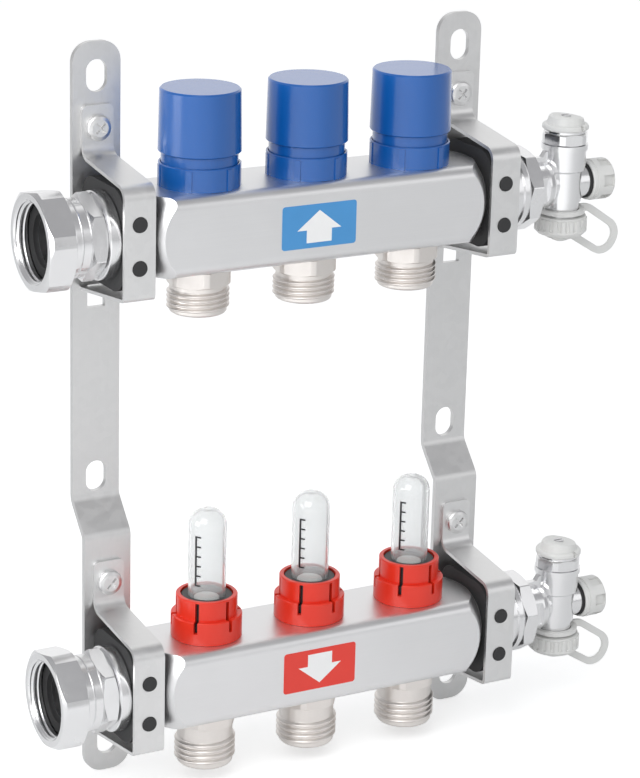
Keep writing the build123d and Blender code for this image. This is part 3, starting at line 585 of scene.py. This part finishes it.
# Stage. The glow of the floor is added to its lit colour, and the cards are grey areas seen only
# by what shines: two far off to the sides of the camera, and one on the floor close to the part.
CAMERA_RIGHT = (0.876, -0.482)
SMALLEST_REACH = 0.02
CARD_START = 0.35
CARD_END = 0.95
FLOOR_COLOUR = (0.8, 0.8, 0.8, 1.0)
FLOOR_SIZE = 8.0
FLOOR_GLOW = 0.49
FLOOR_SHINE = 0.42
SIDE_CARD = 0.38
NEAR_CARD = 0.24
NEAR_CARD_EDGE = (0.25, 0.7)
STUDIO_WHITE = (1.0, 1.0, 1.0, 1.0)
STUDIO_CARD = (0.42, 0.42, 0.43, 1.0)
STUDIO_AMBIENT = (0.56, 0.57, 0.58, 1.0)


def sideways(wiring, place):
    """How far to the side a place or direction lies: 0 ahead of or behind the camera, 1 square on."""
    x, y, _ = wiring.axes(place)
    across = x * CAMERA_RIGHT[0] + y * CAMERA_RIGHT[1]
    reach = (x * x + y * y) ** 0.5 + SMALLEST_REACH
    return abs(across / reach)


floor_paint = Paint("floor", Roughness=0.9)
grain = floor_paint.noise(14.0, detail=4.0, roughness=0.6)
tinted(floor_paint, FLOOR_COLOUR, light=1.01, dark=0.99, share=grain)
card = sideways(floor_paint, floor_paint.place).between(CARD_START, CARD_END)
floor_x, floor_y, _ = floor_paint.axes(floor_paint.place)
near = 1.0 - ((floor_x * floor_x + floor_y * floor_y) ** 0.5).between(*NEAR_CARD_EDGE)
seen = floor_paint.rays("Camera").either(floor_paint.rays("Transmission"))
shade_of_cards = (card * SIDE_CARD).either(near * NEAR_CARD)
glow = seen * FLOOR_GLOW + floor_paint.rays("Glossy") * (FLOOR_SHINE - shade_of_cards)
floor_paint.feed("Emission Color", floor_paint.node("ShaderNodeCombineColor", [glow, glow, glow]))
floor_paint.shader.inputs["Emission Strength"].default_value = 1.0
floor_mesh = bpy.data.meshes.new("floor")
floor_shape = bmesh.new()
bmesh.ops.create_grid(floor_shape, x_segments=4, y_segments=4, size=FLOOR_SIZE,
                      matrix=Matrix.Translation((0, 0, FLOOR_LEVEL * MM)))
floor_shape.to_mesh(floor_mesh)
floor_shape.free()
floor_mesh.materials.append(floor_paint.material)
floor = bpy.data.objects.new("floor", floor_mesh)
bpy.context.scene.collection.objects.link(floor)

# Studio light: white all round for the camera, with soft grey cards to the sides for what shines
world = bpy.data.worlds.new("studio")
bpy.context.scene.world = world
world.use_nodes = True
studio = Wiring(world.node_tree)
direction = studio.node("ShaderNodeTexCoord", {}, output="Generated")
cards = sideways(studio, direction).between(CARD_START, CARD_END)
shine = studio.blend(cards, STUDIO_WHITE, STUDIO_CARD)
ambient = studio.blend(studio.rays("Glossy"), STUDIO_AMBIENT, shine)
clear = studio.rays("Camera").either(studio.rays("Transmission"))
sky = studio.blend(clear, ambient, STUDIO_WHITE)
studio.tree.links.new(sky.socket, studio.tree.nodes["Background"].inputs["Color"])

CENTRE = (0.0, -0.04, -0.08)


def lamp(name, place, size, watts):
    """Square white soft box that points at the middle of the part."""
    data = bpy.data.lights.new(name, "AREA")
    data.shape = "SQUARE"
    data.size = size
    data.energy = watts
    made = bpy.data.objects.new(name, data)
    made.location = place
    made.rotation_euler = (Vector(CENTRE) - Vector(place)).to_track_quat("-Z", "Y").to_euler()
    bpy.context.scene.collection.objects.link(made)


lamp("key", (-1.3, -0.9, 1.1), size=1.5, watts=20.0)
lamp("fill", (1.3, -1.5, 0.6), size=1.2, watts=3.0)
lamp("edge", (-1.5, 0.05, 0.12), size=0.7, watts=5.0)

# Camera, with its right, up and back directions in the columns of its axes
LENS = 135.05
SENSOR_WIDTH = 36.0
CAMERA_PLACE = (-0.57567855, -1.06623867, 0.30850632)
CAMERA_AXES = Matrix((
    (0.87568971, 0.12809115, -0.46557512),
    (-0.48221479, 0.28234836, -0.82930592),
    (0.02522762, 0.95072186, 0.30901699)))
camera_data = bpy.data.cameras.new("camera")
camera_data.sensor_width = SENSOR_WIDTH
camera_data.lens = LENS
camera_data.clip_start = 0.05
camera_data.clip_end = 50.0
camera = bpy.data.objects.new("camera", camera_data)
camera.matrix_world = Matrix.Translation(CAMERA_PLACE) @ CAMERA_AXES.to_4x4()
bpy.context.scene.collection.objects.link(camera)
bpy.context.scene.camera = camera

bpy.context.scene.view_settings.view_transform = "Standard"
